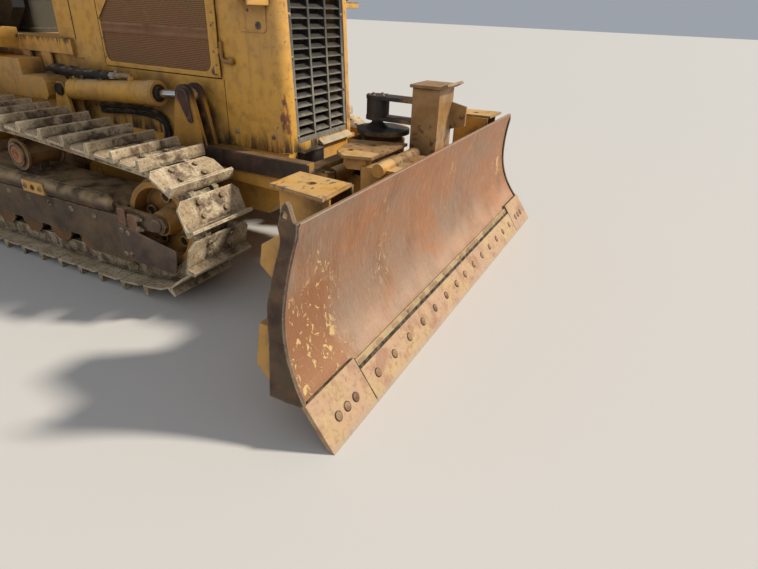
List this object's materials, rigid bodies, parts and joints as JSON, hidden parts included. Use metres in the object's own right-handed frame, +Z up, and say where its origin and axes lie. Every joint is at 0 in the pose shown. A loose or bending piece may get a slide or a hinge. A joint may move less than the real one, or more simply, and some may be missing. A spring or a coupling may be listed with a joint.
{
  "type": "crawler bulldozer",
  "caption": "Crawler bulldozer with a power-angle-tilt blade on a C-frame, louvred grille, perforated engine doors, open operator's station and roll-over canopy.",
  "frame": {"origin": "on the ground under the middle of the machine's overall length and width", "axes": "+X forward to the blade, +Y to the machine's left, +Z up"},
  "size_m": [4.2, 2.79, 2.77],
  "materials": {
    "yellow": "weathered gloss paint, scuffed to steel on edges",
    "dark_paint": "greasy, dusty dark paint",
    "dark_steel": "worn and dusty",
    "track_steel": "dusty, polished at the grouser tips",
    "mouldboard_steel": "rusty brown, polished in fine upright streaks",
    "edge_steel": "dusty tan, worn",
    "grille_grey": "matt grey, dusty",
    "black_metal": "matt black",
    "black_plastic": "matt",
    "seat_vinyl": "grained vinyl",
    "chrome": "hard chrome plated",
    "cast_iron": "as cast"
  },
  "bodies": {
    "root": {"track_right": "track_steel", "track_left": "track_steel", "main_frame": "yellow", "drawbar": "yellow", "nose_section": "yellow", "hood": "yellow", "cowl": "yellow", "platform": "yellow", "fenders": "yellow", "side_tanks": "yellow", "fuel_tank": "yellow", "canopy": "yellow", "side_boxes": "yellow", "idlers": "dark_steel", "sprockets": "dark_steel", "rollers": "dark_steel", "roller_frames": "dark_paint", "roller_guards": "dark_paint", "grille": "grille_grey", "radiator": "black_metal", "engine": "cast_iron", "exhaust": "black_metal", "air_intake": "black_plastic", "consoles": "black_metal", "levers": "black_metal", "seat_base": "black_metal", "seat_cushions": "seat_vinyl"},
    "door_right": {"engine_door_right": "yellow"},
    "lift_barrel_right": {"lift_barrel_right": "yellow"},
    "lift_rod_right": {"lift_rod_right": "chrome"},
    "angle_barrel_right": {"angle_barrel_right": "yellow"},
    "angle_rod_right": {"angle_rod_right": "chrome"},
    "angle_yoke_right": {"angle_yoke_right": "dark_steel"},
    "door_left": {"engine_door_left": "yellow"},
    "lift_barrel_left": {"lift_barrel_left": "yellow"},
    "lift_rod_left": {"lift_rod_left": "chrome"},
    "angle_barrel_left": {"angle_barrel_left": "yellow"},
    "angle_rod_left": {"angle_rod_left": "chrome"},
    "angle_yoke_left": {"angle_yoke_left": "dark_steel"},
    "c_frame": {"c_frame": "yellow"},
    "tilt_carrier": {"tilt_carrier": "dark_steel"},
    "tilt_barrel": {"tilt_barrel": "yellow"},
    "tilt_rod": {"tilt_rod": "chrome"},
    "blade": {"mouldboard": "mouldboard_steel", "blade_back": "yellow", "end_plates": "mouldboard_steel", "cutting_edges": "edge_steel"}
  },
  "joints": [
    {"name": "blade_lift", "type": "hinge", "parent": "root", "child": "c_frame", "pos_m": [-0.15, 0, 0.43], "axis": [0, -1, 0], "range_deg": [-12, 18]},
    {"name": "blade_tilt", "type": "hinge", "parent": "c_frame", "child": "tilt_carrier", "pos_m": [1.43, 0, 0.33], "axis": [1, 0, 0], "range_deg": [-8, 8]},
    {"name": "blade_angle", "type": "hinge", "parent": "tilt_carrier", "child": "blade", "pos_m": [1.495, 0, 0.33], "axis": [0, 0, 1], "range_deg": [-25, 25]},
    {"name": "lift_barrel_swing_right", "type": "hinge", "parent": "root", "child": "lift_barrel_right", "pos_m": [-0.39, -0.44, 0.893], "axis": [0, -1, 0], "range_deg": [-10.02, 14.88]},
    {"name": "lift_rod_slide_right", "type": "slide", "parent": "lift_barrel_right", "child": "lift_rod_right", "axis": [0.9984, 0, 0.0563], "range_m": [-0.1532, 0.1028]},
    {"name": "lift_barrel_swing_left", "type": "hinge", "parent": "root", "child": "lift_barrel_left", "pos_m": [-0.39, 0.44, 0.893], "axis": [0, -1, 0], "range_deg": [-10.02, 14.88]},
    {"name": "lift_rod_slide_left", "type": "slide", "parent": "lift_barrel_left", "child": "lift_rod_left", "axis": [0.9984, 0, 0.0563], "range_m": [-0.1532, 0.1028]},
    {"name": "angle_yoke_swing_right", "type": "hinge", "parent": "c_frame", "child": "angle_yoke_right", "pos_m": [1.305, -0.15, 0.43], "axis": [1, 0, 0], "range_deg": [-9.85, 9.85]},
    {"name": "angle_barrel_swing_right", "type": "hinge", "parent": "angle_yoke_right", "child": "angle_barrel_right", "pos_m": [1.305, -0.21, 0.43], "axis": [0, 0, 1], "range_deg": [-28.29, 28.29]},
    {"name": "angle_rod_slide_right", "type": "slide", "parent": "angle_barrel_right", "child": "angle_rod_right", "axis": [0.481, -0.8767, 0], "range_m": [-0.1137, 0.1137]},
    {"name": "angle_yoke_swing_left", "type": "hinge", "parent": "c_frame", "child": "angle_yoke_left", "pos_m": [1.305, 0.15, 0.43], "axis": [1, 0, 0], "range_deg": [-9.85, 9.85]},
    {"name": "angle_barrel_swing_left", "type": "hinge", "parent": "angle_yoke_left", "child": "angle_barrel_left", "pos_m": [1.305, 0.21, 0.43], "axis": [0, 0, 1], "range_deg": [-28.29, 28.29]},
    {"name": "angle_rod_slide_left", "type": "slide", "parent": "angle_barrel_left", "child": "angle_rod_left", "axis": [0.481, 0.8767, 0], "range_m": [-0.1137, 0.1137]},
    {"name": "tilt_barrel_swing", "type": "hinge", "parent": "c_frame", "child": "tilt_barrel", "pos_m": [1.43, -0.385, 0.64], "axis": [1, 0, 0], "range_deg": [-2.05, 2.05]},
    {"name": "tilt_rod_slide", "type": "slide", "parent": "tilt_barrel", "child": "tilt_rod", "axis": [0, 1, 0], "range_m": [-0.045, 0.045]},
    {"name": "engine_door_right_hinge", "type": "hinge", "parent": "root", "child": "door_right", "pos_m": [0.755, -0.352, 1.32], "axis": [0, 0, 1], "range_deg": [0, 95]},
    {"name": "engine_door_left_hinge", "type": "hinge", "parent": "root", "child": "door_left", "pos_m": [0.755, 0.352, 1.32], "axis": [0, 0, -1], "range_deg": [0, 95]}
  ],
  "couplings": [
    {"joint": "lift_barrel_swing_right", "follows": "blade_lift", "ratio": 0.81005},
    {"joint": "lift_rod_slide_right", "follows": "blade_lift", "m_per_rad": -0.48133},
    {"joint": "lift_barrel_swing_left", "follows": "blade_lift", "ratio": 0.81005},
    {"joint": "lift_rod_slide_left", "follows": "blade_lift", "m_per_rad": -0.48133},
    {"joint": "angle_yoke_swing_right", "follows": "blade_tilt", "ratio": 1.194},
    {"joint": "angle_barrel_swing_right", "follows": "blade_angle", "ratio": 1.1196},
    {"joint": "angle_rod_slide_right", "follows": "blade_angle", "m_per_rad": 0.256},
    {"joint": "angle_yoke_swing_left", "follows": "blade_tilt", "ratio": 1.194},
    {"joint": "angle_barrel_swing_left", "follows": "blade_angle", "ratio": 1.1196},
    {"joint": "angle_rod_slide_left", "follows": "blade_angle", "m_per_rad": -0.256},
    {"joint": "tilt_barrel_swing", "follows": "blade_tilt", "ratio": -0.21881},
    {"joint": "tilt_rod_slide", "follows": "blade_tilt", "m_per_rad": -0.30822}
  ]
}
